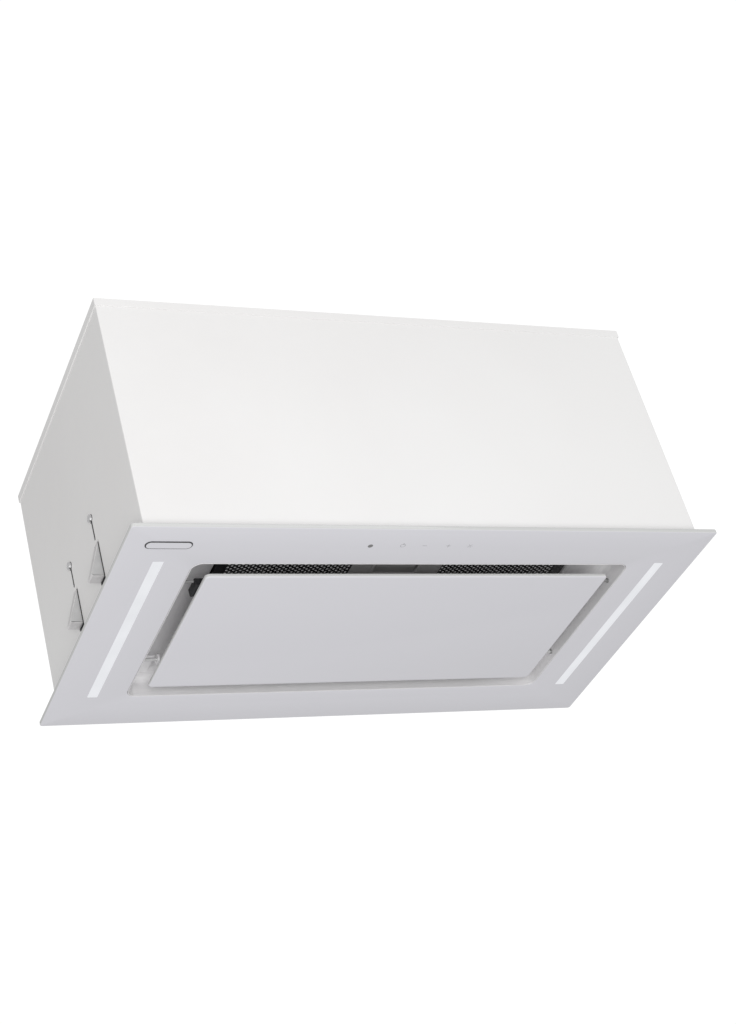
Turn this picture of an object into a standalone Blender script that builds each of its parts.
"""Built-in kitchen cooker hood: a sheet-steel box on a glass flange panel, to be pushed up into a cabinet.

Frame: origin in the middle of the cabinet cut-out, on the plane of the flange's upper face. +X to the right,
+Y to the back, +Z up. Sizes below are in millimetres and become metres when a mesh is made.
"""

import math

import bmesh
import bpy
from mathutils import Matrix, Vector

MM = 0.001
GAP = 0.3  # clearance between pieces that touch

# Box of folded sheet
SHEET = 1.0
LID_SHEET = 0.8
BOX_HALF_WIDTH = 333.2
BOX_HALF_DEPTH = 182.0
BOX_TOP = 306.3
LID_LIP = 10.0
FOLD_RADIUS = 1.5
WALL_X = BOX_HALF_WIDTH - LID_SHEET - GAP  # outer face of the side walls
WALL_Y = BOX_HALF_DEPTH - LID_SHEET - GAP  # outer face of the front wall and of the back panel
BOTTOM_FLANGE = 12.0
REAR_FLANGE = 14.0
LID_SCREW_X = (-240.0, -80.0, 80.0, 240.0)
LID_SCREW_Z = BOX_TOP - 5.5

# Glass flange panel
PANEL_HALF_WIDTH = 350.0
PANEL_FRONT = -194.0
PANEL_BACK = 199.0
GLASS = 5.0
PANEL_CORNER = 3.0
OPENING_HALF_WIDTH = 264.3
OPENING_FRONT = -128.0
OPENING_BACK = 137.0
OPENING_CORNER = 11.0

# LED strips in the glass
LED_INNER = 298.0
LED_OUTER = 310.4
LED_FRONT = -132.3
LED_BACK = 137.6

# Recess that lines the opening and the well that takes the filter
RECESS_SHEET = 0.8
RECESS_FLANGE = 18.7
RECESS_LOW = -4.8
RECESS_TOP = 15.0
WELL_HALF_WIDTH = 219.5
WELL_FRONT = -112.0
WELL_BACK = 116.5
WELL_LEDGE = 28.0
WELL_TOP = 42.0
WELL_CORNER = 4.0

# Plate that hides the filter
PLATE_HALF_WIDTH = 246.1
PLATE_FRONT = -109.9
PLATE_BACK = 113.9
PLATE_BOTTOM = -8.4
PLATE_GLASS = 4.0
PLATE_TOP = PLATE_BOTTOM + PLATE_GLASS
PLATE_CORNER = 5.5
CARRIER_HALF_WIDTH = 238.0
CARRIER_INSET = 9.0
CARRIER_TOP = 1.5
PIN_RADIUS = 1.7
PIN_HEIGHT = 4.0
PIN_END = 242.0
PIVOT_Y = 73.3
LATCH_Y = -82.7
EAR_INNER = 243.3
EAR_OUTER = 245.0
EAR_RADIUS = 6.0
BRACKET_INNER = 247.5
BRACKET_STEP = 258.0
BRACKET_FRONT = 71.0
BRACKET_BACK = 105.0
BRACKET_LOW = 7.0
BRACKET_HIGH = 12.0
CATCH_OUTER = 250.0
CATCH_FRONT = -87.5
CATCH_BACK = -65.3
CATCH_TOP = 5.1

# Grease filter
FILTER_HALF_WIDTH = 217.0
FILTER_FRONT = -110.0
FILTER_BACK = 114.0
FILTER_BOTTOM = 29.0
FILTER_TOP = 38.0
FILTER_BORDER = 13.0
CUP_FRONT = -86.0
CUP_BACK = -50.0
CUP_HALF_WIDTH = 32.0

# Blower
FAN_Y = -25.0
FAN_Z = 160.0
FAN_RADIUS = 75.0
FAN_HALF_WIDTH = 60.0
FAN_BLADES = 24
SCROLL_HALF_WIDTH = 85.0
SCROLL_WALL = 2.5
SCROLL_TONGUE = 70.0  # degrees
SCROLL_START = 86.0  # radius at the tongue
SCROLL_GROWTH = 36.0
SCROLL_TOP = 304.0
INLET_RADIUS = 66.0
SHAFT_RADIUS = 4.0

# Outlet
COLLAR_Y = 50.0
COLLAR_BORE = 73.5
COLLAR_WALL = 1.5
COLLAR_HEIGHT = 45.0
FLAP_Z = 324.0
FLAP_RADIUS = 71.5

# Spring clips in the side walls
CLIP_ROWS = {"front": -41.7, "rear": 49.3}
CLIP_HALF_WIDTH = 7.0
CLIP_REACH = 15.0
CLIP_FOOT = 34.0
CLIP_TIP = 78.0
CLIP_PIVOT = 100.0
CLIP_SCREW_Z = 113.0

# Cable gland in the roof
GLAND_AT = (-292.0, 60.0)
GLAND_THREAD = 8.0
GLAND_BORE = 4.5
GLAND_FLANGE = 5.0

SIDES = {"left": -1, "right": 1}

# name: (colour, roughness, metallic)
FINISHES = {
    "white_coat": ((0.84, 0.83, 0.83), 0.45, 0.0),
    "white_glass": ((0.62, 0.62, 0.65), 0.12, 0.0),
    "diffuser": ((0.93, 0.94, 0.96), 0.35, 0.0),
    "stainless": ((0.55, 0.53, 0.53), 0.3, 1.0),
    "galvanised": ((0.48, 0.48, 0.49), 0.38, 1.0),
    "steel": ((0.6, 0.6, 0.62), 0.3, 1.0),
    "aluminium": ((0.72, 0.73, 0.74), 0.35, 1.0),
    "black_coat": ((0.02, 0.02, 0.022), 0.45, 0.0),
    "black_plastic": ((0.025, 0.025, 0.027), 0.4, 0.0),
    "grey_plastic": ((0.3, 0.31, 0.32), 0.5, 0.0),
    "board": ((0.05, 0.2, 0.09), 0.5, 0.0),
}


# ---------------------------------------------------------------- basic shapes


def empty_scene():
    for thing in list(bpy.data.objects):
        bpy.data.objects.remove(thing, do_unlink=True)


def finish(name):
    found = bpy.data.materials.get(name)
    if found:
        return found
    colour, roughness, metallic = FINISHES[name]
    made = bpy.data.materials.new(name)
    made.use_nodes = True
    shader = made.node_tree.nodes["Principled BSDF"]
    shader.inputs["Base Color"].default_value = (*colour, 1.0)
    shader.inputs["Roughness"].default_value = roughness
    shader.inputs["Metallic"].default_value = metallic
    return made


def solid(name, mesh, material="steel", smooth_below=None):
    """Turn a bmesh in millimetres into a named object in metres."""
    bmesh.ops.recalc_face_normals(mesh, faces=mesh.faces)
    bmesh.ops.scale(mesh, vec=Vector((MM, MM, MM)), verts=mesh.verts)
    data = bpy.data.meshes.new(name)
    mesh.to_mesh(data)
    mesh.free()
    data.materials.append(finish(material))
    if smooth_below:
        data.shade_smooth()
        data.set_sharp_from_angle(angle=math.radians(smooth_below))
    made = bpy.data.objects.new(name, data)
    bpy.context.scene.collection.objects.link(made)
    return made


def box(name, low, high, material="steel"):
    mesh = bmesh.new()
    bmesh.ops.create_cube(mesh, size=1.0)
    size = Vector(high) - Vector(low)
    middle = (Vector(high) + Vector(low)) / 2
    stretch = Matrix.Translation(middle) @ Matrix.Diagonal((*size, 1.0))
    bmesh.ops.transform(mesh, matrix=stretch, verts=mesh.verts)
    return solid(name, mesh, material)


def place(axis, across, along):
    """A point from a flat outline point and a distance along the axis it is extruded on."""
    a, b = across
    return {"x": (along, a, b), "y": (a, along, b), "z": (a, b, along)}[axis]


def prism(name, outline, axis, start, end, material="steel", smooth_below=None):
    """A flat outline extruded along an axis: (y, z) points for x, (x, z) for y and (x, y) for z."""
    mesh = bmesh.new()
    floor = mesh.faces.new([mesh.verts.new(place(axis, point, start)) for point in outline])
    grown = bmesh.ops.extrude_face_region(mesh, geom=[floor])
    top = [item for item in grown["geom"] if isinstance(item, bmesh.types.BMVert)]
    bmesh.ops.translate(mesh, vec=Vector(place(axis, (0, 0), end - start)), verts=top)
    return solid(name, mesh, material, smooth_below)


def span(side, near, far):
    """Low and high x of a stretch from near to far off the middle, on the side -1 or 1."""
    return sorted((side * near, side * far))


def circle(centre, radius, count):
    a, b = centre
    turns = [2 * math.pi * i / count for i in range(count)]
    return [(a + radius * math.cos(t), b + radius * math.sin(t)) for t in turns]


def rod(name, centre, radius, axis, start, end, material="steel", count=24):
    return prism(name, circle(centre, radius, count), axis, start, end, material, 40)


def rounded(half_width, front, back, radius, steps=6):
    """Outline of a rectangle with round corners, centred on x = 0."""
    corners = [
        (half_width - radius, back - radius, 0),
        (-half_width + radius, back - radius, 90),
        (-half_width + radius, front + radius, 180),
        (half_width - radius, front + radius, 270),
    ]
    points = []
    for x, y, first in corners:
        for i in range(steps + 1):
            turn = math.radians(first + 90 * i / steps)
            points.append((x + radius * math.cos(turn), y + radius * math.sin(turn)))
    return points


def loft(name, sections, closed, material="steel", smooth_below=None):
    """Bridge outlines of equal point count, each (outline, z). Closed joins last to first, else capped."""
    mesh = bmesh.new()
    loops = [[mesh.verts.new((x, y, z)) for x, y in outline] for outline, z in sections]
    pairs = list(zip(loops, loops[1:]))
    if closed:
        pairs.append((loops[-1], loops[0]))
    else:
        mesh.faces.new(loops[0])
        mesh.faces.new(loops[-1])
    count = len(loops[0])
    for lower, upper in pairs:
        for i in range(count):
            j = (i + 1) % count
            mesh.faces.new((lower[i], lower[j], upper[j], upper[i]))
    return solid(name, mesh, material, smooth_below)


def turned(name, profile, centre, material="steel", count=48, smooth_below=40):
    """A ring turned about a vertical axis from a closed profile of (radius, z)."""
    sections = [(circle(centre, radius, count), z) for radius, z in profile]
    return loft(name, sections, True, material, smooth_below)


def combine(target, tool, operation):
    """Apply a Boolean to the target and drop the tool."""
    change = target.modifiers.new("shape", "BOOLEAN")
    change.operation = operation
    change.solver = "EXACT"
    change.object = tool
    bpy.context.view_layer.update()
    seen = target.evaluated_get(bpy.context.evaluated_depsgraph_get())
    result = bpy.data.meshes.new_from_object(seen)
    target.modifiers.clear()
    result.name = target.name
    target.data = result
    bpy.data.objects.remove(tool, do_unlink=True)
    return target


def cut(target, *tools):
    for tool in tools:
        combine(target, tool, "DIFFERENCE")
    return target


def join(target, *tools):
    for tool in tools:
        combine(target, tool, "UNION")
    return target


def hang_on(pivot_name, point, pieces):
    """Parent pieces to an empty on their joint's axis without moving them."""
    pivot = bpy.data.objects.new(pivot_name, None)
    pivot.location = Vector(point) * MM
    bpy.context.scene.collection.objects.link(pivot)
    bpy.context.view_layer.update()
    for piece in pieces:
        piece.parent = pivot
        piece.matrix_parent_inverse = pivot.matrix_world.inverted()


# ---------------------------------------------------------------- box


def wall_outline():
    """Plan of the wrapped sheet: front and both sides with inward rear flanges, open at the back."""
    rear = WALL_Y - SHEET - GAP
    outer = []
    for side, first in ((-1, 180), (1, 270)):
        for i in range(4):
            turn = math.radians(first + 30 * i)
            x = side * (WALL_X - FOLD_RADIUS) + FOLD_RADIUS * math.cos(turn)
            outer.append((x, -WALL_Y + FOLD_RADIUS + FOLD_RADIUS * math.sin(turn)))
    inner_x = WALL_X - SHEET
    inner_y = -WALL_Y + SHEET
    lip = WALL_X - REAR_FLANGE
    right = [(WALL_X, rear), (lip, rear), (lip, rear - SHEET), (inner_x, rear - SHEET), (inner_x, inner_y)]
    left = [(-x, y) for x, y in reversed(right)]
    return outer + right + left


def casing_wrap():
    wrap = prism("casing_wrap", wall_outline(), "z", GAP, BOX_TOP - LID_SHEET - GAP, "white_coat")
    inner_x = WALL_X - SHEET / 2
    inner_y = WALL_Y - SHEET / 2
    edge_x = WALL_X - SHEET - BOTTOM_FLANGE
    edge_y = -WALL_Y + SHEET + BOTTOM_FLANGE
    rear = WALL_Y - SHEET - GAP - REAR_FLANGE
    outline = [(-inner_x, rear), (-inner_x, -inner_y), (inner_x, -inner_y), (inner_x, rear)]
    outline += [(edge_x, rear), (edge_x, edge_y), (-edge_x, edge_y), (-edge_x, rear)]
    join(wrap, prism("flange", outline, "z", GAP, GAP + SHEET))
    for side in SIDES.values():
        for y in CLIP_ROWS.values():
            cut(wrap, clip_window(side, y), clip_slot(side, y))
    return wrap


def clip_window(side, y):
    half = CLIP_HALF_WIDTH + 1.5
    low = (side * WALL_X - 5, y - half, CLIP_FOOT - 3.2)
    return box("window", low, (side * WALL_X + 5, y + half, CLIP_TIP + 2.5))


def clip_slot(side, y):
    """Upright slot with round ends, along which the spring nut slides."""
    half = 1.8
    outline = []
    for middle, first in ((CLIP_SCREW_Z + 3.0, 0), (CLIP_SCREW_Z - 26.0, 180)):
        for step in range(7):
            turn = math.radians(first + 30 * step)
            outline.append((y + half * math.cos(turn), middle + half * math.sin(turn)))
    return prism("slot", outline, "x", side * WALL_X - 5, side * WALL_X + 5)


def back_panel():
    half = WALL_X - GAP
    low = (-half, WALL_Y - SHEET, GAP)
    return box("back_panel", low, (half, WALL_Y, BOX_TOP - LID_SHEET - GAP), "white_coat")


def top_cover():
    cover = box("top_cover", (-BOX_HALF_WIDTH, -BOX_HALF_DEPTH, BOX_TOP - LID_LIP),
                (BOX_HALF_WIDTH, BOX_HALF_DEPTH, BOX_TOP), "white_coat")
    x = BOX_HALF_WIDTH - LID_SHEET
    y = BOX_HALF_DEPTH - LID_SHEET
    cut(cover, box("inside", (-x, -y, 0), (x, y, BOX_TOP - LID_SHEET)))
    cut(cover, rod("air_hole", (0, COLLAR_Y), COLLAR_BORE, "z", 300, 310, count=48))
    cut(cover, rod("gland_hole", GLAND_AT, GLAND_THREAD + GAP, "z", 300, 310))
    return cover


def lid_screws(cover, back):
    """Screws through the lid's rear lip into the back panel."""
    for number, x in enumerate(LID_SCREW_X, 1):
        for piece in (cover, back):
            cut(piece, rod("screw_hole", (x, LID_SCREW_Z), 1.9, "y", WALL_Y - 5, WALL_Y + 5, count=12))
        head_start = BOX_HALF_DEPTH + GAP
        screw = rod(f"lid_screw_{number}", (x, LID_SCREW_Z), 3.4, "y", head_start, head_start + 1.8)
        join(screw, rod("shank", (x, LID_SCREW_Z), 1.5, "y", WALL_Y - 4, head_start + 1, count=12))


def box_group():
    casing_wrap()
    back = back_panel()
    cover = top_cover()
    lid_screws(cover, back)


# ---------------------------------------------------------------- glass panel with its lights and keys


def glass_panel():
    """Glass with a hole for the recess."""
    lining = RECESS_SHEET + GAP
    outer = rounded(PANEL_HALF_WIDTH, PANEL_FRONT, PANEL_BACK, PANEL_CORNER)
    hole = (OPENING_HALF_WIDTH + lining, OPENING_FRONT - lining, OPENING_BACK + lining)
    inner = rounded(*hole, OPENING_CORNER + lining)
    rings = [(outer, -GLASS), (outer, 0), (inner, 0), (inner, -GLASS)]
    panel = loft("glass_panel", rings, True, "white_glass", 30)
    for side in SIDES.values():
        x = span(side, LED_INNER, LED_OUTER)
        cut(panel, box("led_window", (x[0], LED_FRONT, -GLASS - 5), (x[1], LED_BACK, 5)))
    return panel


def lights():
    middle = (LED_INNER + LED_OUTER) / 2
    stem = (LED_OUTER - LED_INNER) / 2 - GAP
    rim = stem + 3
    front = LED_FRONT + GAP
    back = LED_BACK - GAP
    tee = [(-stem, -GLASS), (stem, -GLASS), (stem, GAP), (rim, GAP)]
    tee += [(rim, 2.5), (-rim, 2.5), (-rim, GAP), (-stem, GAP)]
    channel_in = rim + 0.5
    channel_out = channel_in + 1.5
    channel = [(-channel_out, GAP), (-channel_in, GAP), (-channel_in, 12), (channel_in, 12), (channel_in, GAP),
               (channel_out, GAP), (channel_out, 13.5), (-channel_out, 13.5)]
    for word, side in SIDES.items():
        x = side * middle
        prism(f"led_diffuser_{word}", [(x + a, z) for a, z in tee], "y", front, back, "diffuser")
        prism(f"led_profile_{word}", [(x + a, z) for a, z in channel], "y", front, back, "aluminium")
        box(f"led_strip_{word}", (x - 5, front + 2, 10.5), (x + 5, back - 2, 12 - GAP), "diffuser")


def touch_board():
    return box("touch_board", (-92, -167, GAP), (56, -150.5, 2.2), "board")


def recess_tray():
    """Pan that lines the opening: lip in the glass, flange on it, upright wall, sloping ledge and filter well."""
    def grown(by):
        corner = OPENING_CORNER + by
        return rounded(OPENING_HALF_WIDTH + by, OPENING_FRONT - by, OPENING_BACK + by, corner)

    def well(by):
        return rounded(WELL_HALF_WIDTH + by, WELL_FRONT - by, WELL_BACK + by, WELL_CORNER + by)

    t = RECESS_SHEET
    sections = [
        (grown(0), RECESS_LOW),
        (grown(t), RECESS_LOW),
        (grown(t), GAP),
        (grown(RECESS_FLANGE), GAP),
        (grown(RECESS_FLANGE), GAP + t),
        (grown(t), GAP + t),
        (grown(t), RECESS_TOP + t),
        (well(t), WELL_LEDGE + t),
        (well(t), WELL_TOP),
        (well(0), WELL_TOP),
        (well(0), WELL_LEDGE),
        (grown(0), RECESS_TOP),
    ]
    tray = loft("recess_tray", sections, True, "stainless", 25)
    cut(tray, box("tongue_slot", (-8, WELL_FRONT - 5, 32.4), (8, WELL_FRONT + 1, 36.0)))
    return tray


def wall_pins():
    """Pins across the recess's ends: the rear pair carries the plate, which snaps on the front pair."""
    wall = OPENING_HALF_WIDTH - GAP
    for word, side in SIDES.items():
        rod(f"pivot_pin_{word}", (PIVOT_Y, PIN_HEIGHT), PIN_RADIUS, "x", *span(side, PIN_END, wall))
        rod(f"latch_pin_{word}", (LATCH_Y, PIN_HEIGHT), PIN_RADIUS, "x", *span(side, PIN_END, wall))


def hinge_bracket(word, side):
    """Stepped sheet on the recess's end wall that keeps the plate's hinge from lifting off its pin."""
    wall = OPENING_HALF_WIDTH - GAP
    t = SHEET
    profile = [(BRACKET_INNER, BRACKET_LOW), (BRACKET_STEP, BRACKET_LOW), (BRACKET_STEP, BRACKET_HIGH)]
    profile += [(wall, BRACKET_HIGH), (wall, BRACKET_HIGH + t), (BRACKET_STEP - t, BRACKET_HIGH + t)]
    profile += [(BRACKET_STEP - t, BRACKET_LOW + t), (BRACKET_INNER, BRACKET_LOW + t)]
    outline = [(side * x, z) for x, z in profile]
    return prism(f"hinge_bracket_{word}", outline, "y", BRACKET_FRONT, BRACKET_BACK, "stainless")


def panel_group():
    glass_panel()
    lights()
    touch_board()
    recess_tray()
    wall_pins()
    for word, side in SIDES.items():
        hinge_bracket(word, side)


# ---------------------------------------------------------------- hinged suction plate


def suction_plate():
    face = rounded(PLATE_HALF_WIDTH - 2.0, PLATE_FRONT + 2.0, PLATE_BACK - 2.0, PLATE_CORNER - 2.0)
    edge = rounded(PLATE_HALF_WIDTH, PLATE_FRONT, PLATE_BACK, PLATE_CORNER)
    sections = [(face, PLATE_BOTTOM), (edge, PLATE_BOTTOM + 1.2), (edge, PLATE_TOP)]
    return loft("suction_plate", sections, False, "white_glass", 25)


def plate_carrier():
    """Shallow steel pan bonded to the plate, with an ear round each pivot pin."""
    front = PLATE_FRONT + CARRIER_INSET
    back = PLATE_BACK - CARRIER_INSET
    low = PLATE_TOP + GAP
    t = RECESS_SHEET
    outer = rounded(CARRIER_HALF_WIDTH, front, back, 3)
    inner = rounded(CARRIER_HALF_WIDTH - t, front + t, back - t, 3 - t)
    sections = [(outer, low), (outer, CARRIER_TOP), (inner, CARRIER_TOP), (inner, low + t)]
    carrier = loft("plate_carrier", sections, False, "stainless")
    for side in SIDES.values():
        arm = span(side, CARRIER_HALF_WIDTH - t, EAR_OUTER)
        join(carrier, box("arm", (arm[0], PIVOT_Y - 5, -1.8), (arm[1], PIVOT_Y + 5, -0.4)))
        ear = span(side, EAR_INNER, EAR_OUTER)
        join(carrier, rod("ear", (PIVOT_Y, PIN_HEIGHT), EAR_RADIUS, "x", *ear))
        cut(carrier, rod("eye", (PIVOT_Y, PIN_HEIGHT), PIN_RADIUS + 0.4, "x", ear[0] - 1, ear[1] + 1))
    return carrier


def plate_clip(word, side):
    """Snap jaw open at the top, which drops off the latch pin when the plate's front edge swings down."""
    body = span(side, CARRIER_HALF_WIDTH + GAP, CATCH_OUTER)
    low = (body[0], CATCH_FRONT, PLATE_TOP + GAP)
    clip = box(f"plate_clip_{word}", low, (body[1], CATCH_BACK, CATCH_TOP), "black_plastic")
    grip = PIN_RADIUS + 0.4
    throat = []
    for step in range(10):
        turn = math.radians(180 + 20 * step)
        throat.append((LATCH_Y + grip * math.cos(turn), PIN_HEIGHT + grip * math.sin(turn)))
    throat += [(LATCH_Y + grip, CATCH_TOP + 5), (LATCH_Y - grip, CATCH_TOP + 5)]
    return cut(clip, prism("throat", throat, "x", body[0] - 1, body[1] + 1))


def plate_group():
    pieces = [suction_plate(), plate_carrier()]
    pieces += [plate_clip(word, side) for word, side in SIDES.items()]
    hang_on("plate_axis", (0, PIVOT_Y, PIN_HEIGHT), pieces)


# ---------------------------------------------------------------- grease filter


def filter_frame():
    border = FILTER_BORDER
    outer = rounded(FILTER_HALF_WIDTH, FILTER_FRONT, FILTER_BACK, 3)
    inner = rounded(FILTER_HALF_WIDTH - border, FILTER_FRONT + border, FILTER_BACK - border, 2)
    rings = [(outer, FILTER_BOTTOM), (outer, FILTER_TOP), (inner, FILTER_TOP), (inner, FILTER_BOTTOM)]
    frame = loft("filter_frame", rings, True, "black_coat")
    cut(frame, box("tongue_slot", (-7.6, FILTER_FRONT - 1, 32.6), (7.6, FILTER_FRONT + border + 1, 35.8)))
    return frame


def filter_sheets():
    half = FILTER_HALF_WIDTH - FILTER_BORDER - GAP
    front = FILTER_FRONT + FILTER_BORDER + GAP
    back = FILTER_BACK - FILTER_BORDER - GAP
    low = FILTER_BOTTOM + GAP
    outline = rounded(half, front, back, 2)
    face = prism("filter_face", outline, "z", low, low + 0.8, "black_coat")
    cut(face, box("finger_hole", (-26.5, -78, low - 5), (26.5, -58, low + 5)))
    core = prism("filter_mesh", outline, "z", low + 1.1, FILTER_TOP - 1, "aluminium")
    side = CUP_HALF_WIDTH + 1
    cut(core, box("cup_room", (-side, front - 5, 0), (side, CUP_BACK + 1, 60)))


def filter_cup():
    low = FILTER_BOTTOM + 1.4
    high = (CUP_HALF_WIDTH, CUP_BACK, FILTER_TOP)
    cup = box("filter_cup", (-CUP_HALF_WIDTH, CUP_FRONT, low), high, "black_plastic")
    wall = 2.0
    half = CUP_HALF_WIDTH - wall
    cut(cup, box("hollow", (-half, CUP_FRONT + wall, low - 5), (half, CUP_BACK - wall, FILTER_TOP - 1.5)))
    cut(cup, box("tongue_slot", (-7.6, CUP_FRONT - 1, 32.6), (7.6, CUP_FRONT + wall + 1, 35.8)))
    return cup


def filter_latch():
    """Sliding finger bar whose tongue locks through the front of the well."""
    latch = box("filter_latch", (-24, -77, 30.8), (24, -71, 36.0), "black_plastic")
    join(latch, box("tongue", (-7, WELL_FRONT - 1.8, 33.0), (7, -74, 35.4)))
    return latch


def filter_group():
    filter_frame()
    filter_sheets()
    filter_cup()
    hang_on("latch_axis", (0, -74, 34), [filter_latch()])


# ---------------------------------------------------------------- blower


def scroll_outline(inset):
    """Spiral round the fan in (y, z), opening into a duct that widens up to the roof."""
    points = []
    steps = 30
    for i in range(steps + 1):
        turn = SCROLL_TONGUE + (360 - SCROLL_TONGUE) * i / steps
        radius = SCROLL_START + SCROLL_GROWTH * i / steps - inset
        angle = math.radians(turn)
        points.append((FAN_Y + radius * math.cos(angle), FAN_Z + radius * math.sin(angle)))
    reach = COLLAR_BORE + 0.5
    top = SCROLL_TOP + 2 * inset
    points += [(COLLAR_Y + reach - inset, SCROLL_TOP - 12), (COLLAR_Y + reach - inset, top)]
    points += [(COLLAR_Y - reach + inset, top), (COLLAR_Y - reach + inset, SCROLL_TOP - 12)]
    return points


def blower_shell(word, side):
    """One half of the scroll, open towards its other half, with a round air inlet."""
    outside = span(side, GAP / 2, SCROLL_HALF_WIDTH)
    shell = prism(f"blower_shell_{word}", scroll_outline(0), "x", *outside, "grey_plastic", 30)
    hollow = span(side, -5, SCROLL_HALF_WIDTH - SCROLL_WALL)
    cut(shell, prism("hollow", scroll_outline(SCROLL_WALL), "x", *hollow))
    inlet = span(side, SCROLL_HALF_WIDTH - 15, SCROLL_HALF_WIDTH + 10)
    cut(shell, rod("inlet", (FAN_Y, FAN_Z), INLET_RADIUS, "x", *inlet, count=48))
    return shell


def impeller():
    """Double-inlet drum: middle disc, two end rings and a row of blades through all three."""
    disc = rod("impeller", (FAN_Y, FAN_Z), FAN_RADIUS - 1, "x", -1.2, 1.2, "grey_plastic", 48)
    blades = bmesh.new()
    for i in range(FAN_BLADES):
        bmesh.ops.create_cube(blades, size=1.0)
        fresh = blades.verts[-8:]
        turn = Matrix.Rotation(2 * math.pi * i / FAN_BLADES, 4, "X")
        lean = Matrix.Rotation(math.radians(35), 4, "X")
        out = Matrix.Translation((0, FAN_RADIUS - 6, 0))
        size = Matrix.Diagonal((2 * FAN_HALF_WIDTH, 11, 1.2, 1))
        where = Matrix.Translation((0, FAN_Y, FAN_Z))
        bmesh.ops.transform(blades, matrix=where @ turn @ out @ lean @ size, verts=fresh)
    join(disc, solid("blades", blades))
    for side in SIDES.values():
        ends = span(side, FAN_HALF_WIDTH - 3, FAN_HALF_WIDTH + 1)
        ring = rod("ring", (FAN_Y, FAN_Z), FAN_RADIUS, "x", *ends, count=48)
        cut(ring, rod("bore", (FAN_Y, FAN_Z), FAN_RADIUS - 8, "x", ends[0] - 5, ends[1] + 5, count=48))
        join(disc, ring)
    join(disc, rod("hub", (FAN_Y, FAN_Z), 12, "x", -12, -1))
    cut(disc, rod("bore", (FAN_Y, FAN_Z), SHAFT_RADIUS + GAP, "x", -20, 20))
    return disc


def motor():
    body = rod("motor_body", (FAN_Y, FAN_Z), 44, "x", 5, 70, "galvanised", 36)
    cut(body, rod("bore", (FAN_Y, FAN_Z), SHAFT_RADIUS + 0.5, "x", -5, 40))
    face = SCROLL_HALF_WIDTH + GAP
    bracket = rod("motor_bracket", (FAN_Y, FAN_Z), 24, "x", 70 + GAP, face + 2, "galvanised", 36)
    ring = rod("ring", (FAN_Y, FAN_Z), INLET_RADIUS + 10, "x", face, face + 2, count=48)
    cut(ring, rod("bore", (FAN_Y, FAN_Z), INLET_RADIUS - 2, "x", face - 5, face + 5, count=48))
    join(bracket, ring)
    for i in range(3):
        mesh = bmesh.new()
        bmesh.ops.create_cube(mesh, size=1.0)
        reach = INLET_RADIUS - 15
        size = Matrix.Diagonal((1.6, reach, 12, 1))
        out = Matrix.Translation((face + 1, reach / 2 + 18, 0))
        turn = Matrix.Rotation(math.radians(90 + 120 * i), 4, "X")
        where = Matrix.Translation((0, FAN_Y, FAN_Z))
        bmesh.ops.transform(mesh, matrix=where @ turn @ out @ size, verts=mesh.verts)
        join(bracket, solid("arm", mesh))


def blower_rail(word, side):
    """Angle that carries the blower between the front wall and the back panel."""
    inner = SCROLL_HALF_WIDTH + GAP
    angle = [(inner, 60), (inner + 25, 60), (inner + 25, 61.2), (inner + 1.2, 61.2), (inner + 1.2, 78), (inner, 78)]
    end = WALL_Y - SHEET - GAP
    prism(f"blower_rail_{word}", [(side * x, z) for x, z in angle], "y", -end, end, "galvanised")


def blower_group():
    for word, side in SIDES.items():
        blower_shell(word, side)
        blower_rail(word, side)
    motor()
    shaft = rod("motor_shaft", (FAN_Y, FAN_Z), SHAFT_RADIUS, "x", -16, 39, "steel")
    hang_on("fan_axis", (0, FAN_Y, FAN_Z), [impeller(), shaft])
    rod("capacitor", (-SCROLL_HALF_WIDTH - GAP - 16, 60), 16, "z", 190, 248, "grey_plastic", 32)


# ---------------------------------------------------------------- outlet with non-return flaps


def outlet_collar():
    base = BOX_TOP + GAP
    outer = COLLAR_BORE + COLLAR_WALL
    profile = [(COLLAR_BORE, base), (outer + 17, base), (outer + 17, base + COLLAR_WALL),
               (outer, base + COLLAR_WALL), (outer, base + COLLAR_HEIGHT), (COLLAR_BORE, base + COLLAR_HEIGHT)]
    return turned("outlet_collar", profile, (0, COLLAR_Y), "black_plastic", 64)


def flap(name, side, knuckles):
    """Half disc that swings up from the middle pin, with knuckles where the other flap has room for them."""
    outline = []
    clear = 4.2
    edge = math.degrees(math.asin(clear / FLAP_RADIUS))
    steps = 24
    for i in range(steps + 1):
        turn = math.radians(edge + (180 - 2 * edge) * i / steps)
        outline.append((FLAP_RADIUS * math.cos(turn), COLLAR_Y + side * FLAP_RADIUS * math.sin(turn)))
    made = prism(name, outline, "z", FLAP_Z - 0.5, FLAP_Z + 0.5, "black_plastic")
    for start, end in knuckles:
        tab = sorted((COLLAR_Y + side * 1.0, COLLAR_Y + side * 6.0))
        join(made, box("tab", (start, tab[0], FLAP_Z - 0.5), (end, tab[1], FLAP_Z + 0.5)))
        join(made, rod("knuckle", (COLLAR_Y, FLAP_Z), 3.4, "x", start, end, count=16))
        cut(made, rod("eye", (COLLAR_Y, FLAP_Z), 1.9, "x", start - 2, end + 2, count=16))
    hang_on(f"{name}_axis", (0, COLLAR_Y, FLAP_Z), [made])


def outlet_group():
    outlet_collar()
    rod("flap_pin", (COLLAR_Y, FLAP_Z), 1.5, "x", -COLLAR_BORE + 0.6, COLLAR_BORE - 0.6, "steel", 16)
    flap("flap_front", -1, [(-62, -26), (26, 62)])
    flap("flap_rear", 1, [(-24, 24)])


# ---------------------------------------------------------------- electrics


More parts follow.
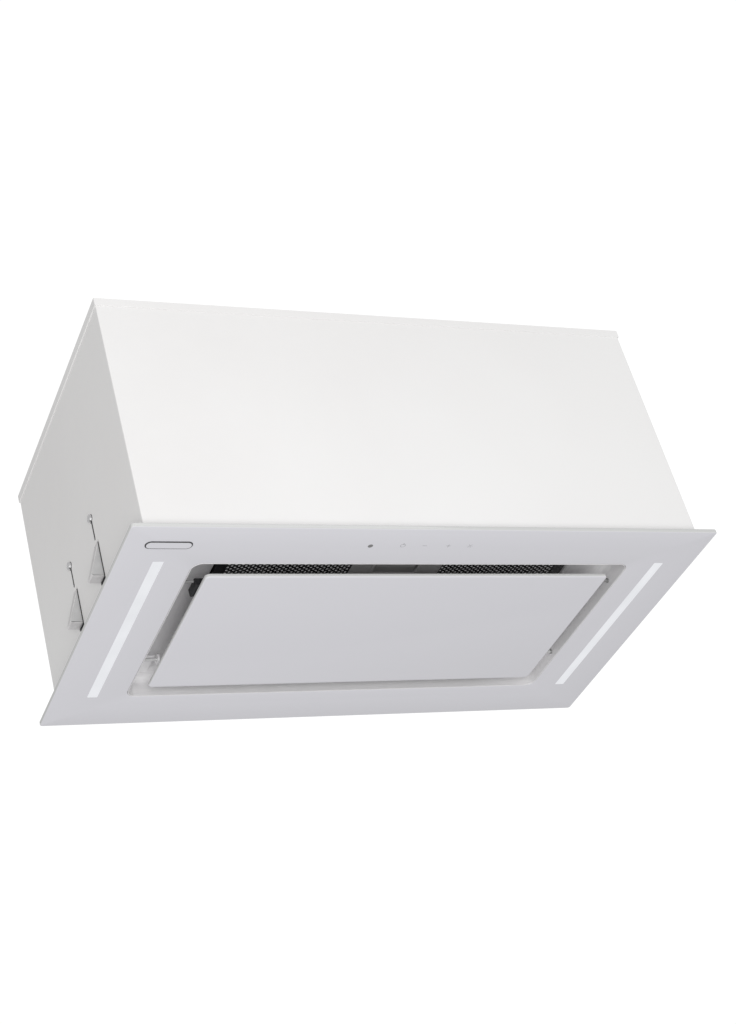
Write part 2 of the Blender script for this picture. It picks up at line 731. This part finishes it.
def control_case():
    wall = WALL_X - SHEET - GAP
    low = (-wall, -90, 190)
    high = (-wall + 40, 30, 272)
    case = box("control_box", low, high, "grey_plastic")
    t = 2.0
    cut(case, box("hollow", (low[0] + t, low[1] + t, low[2] + t), (high[0] + 5, high[1] - t, high[2] - t)))
    box("control_lid", (high[0] + GAP, low[1], low[2]), (high[0] + 2.3, high[1], high[2]), "grey_plastic")
    board = low[0] + t + 4
    box("control_board", (board, low[1] + 5, low[2] + 5), (board + 1.6, high[1] - 5, high[2] - 5), "board")
    start = board + 1.6 + GAP
    box("terminal_block", (start, -5, 240), (start + 14, 20, 262), "white_coat")


def led_driver():
    back = WALL_Y - SHEET - GAP
    box("led_driver", (-280, back - 32, 60), (-160, back, 82), "white_coat")


def cable_gland():
    """Gland in the roof: nuts above and below the sheet and a threaded bore for the supply lead."""
    sheet_top = BOX_TOP + GAP
    sheet_low = BOX_TOP - LID_SHEET - GAP
    rim = GLAND_THREAD + GLAND_FLANGE
    profile = [(GLAND_BORE, sheet_low - 8), (rim, sheet_low - 8), (rim, sheet_low), (GLAND_THREAD, sheet_low),
               (GLAND_THREAD, sheet_top), (rim, sheet_top), (rim, sheet_top + 7), (GLAND_THREAD, sheet_top + 14),
               (GLAND_BORE, sheet_top + 14)]
    return turned("cable_gland", profile, GLAND_AT, "black_plastic", 24, 30)


def electrics_group():
    control_case()
    led_driver()
    cable_gland()


# ---------------------------------------------------------------- side clips


def side_clip(name, side, y):
    """Spring leaf behind the wall with a wedge that stands out through its window."""
    back = WALL_X - SHEET - GAP
    leaf = back - 0.8
    outline = [(WALL_X + CLIP_REACH, CLIP_FOOT), (WALL_X + 0.5, CLIP_TIP), (back, CLIP_TIP + 2),
               (back, CLIP_PIVOT), (leaf, CLIP_PIVOT), (leaf, CLIP_FOOT)]
    ends = (y - CLIP_HALF_WIDTH, y + CLIP_HALF_WIDTH)
    clip = prism(name, [(side * x, z) for x, z in outline], "y", *ends, "galvanised")
    hang_on(f"{name}_axis", (side * (back - 0.4), y, CLIP_PIVOT), [clip])


def clip_screw(name, side, y):
    """Pan head outside the wall and a square spring nut inside it."""
    head = span(side, WALL_X + GAP, WALL_X + 2.8)
    screw = rod(name, (y, CLIP_SCREW_Z), 4.5, "x", *head)
    shank = span(side, WALL_X - SHEET - 1.2, WALL_X + 1)
    join(screw, rod("shank", (y, CLIP_SCREW_Z), 1.5, "x", *shank, count=12))
    nut = span(side, WALL_X - SHEET - GAP - 1.3, WALL_X - SHEET - GAP)
    join(screw, box("nut", (nut[0], y - 6, CLIP_PIVOT + 0.6), (nut[1], y + 6, CLIP_SCREW_Z + 6)))


def clip_group():
    for word, side in SIDES.items():
        for row, y in CLIP_ROWS.items():
            side_clip(f"side_clip_{word}_{row}", side, y)
            clip_screw(f"clip_screw_{word}_{row}", side, y)


def main():
    empty_scene()
    box_group()
    panel_group()
    plate_group()
    filter_group()
    blower_group()
    outlet_group()
    electrics_group()
    clip_group()


main()
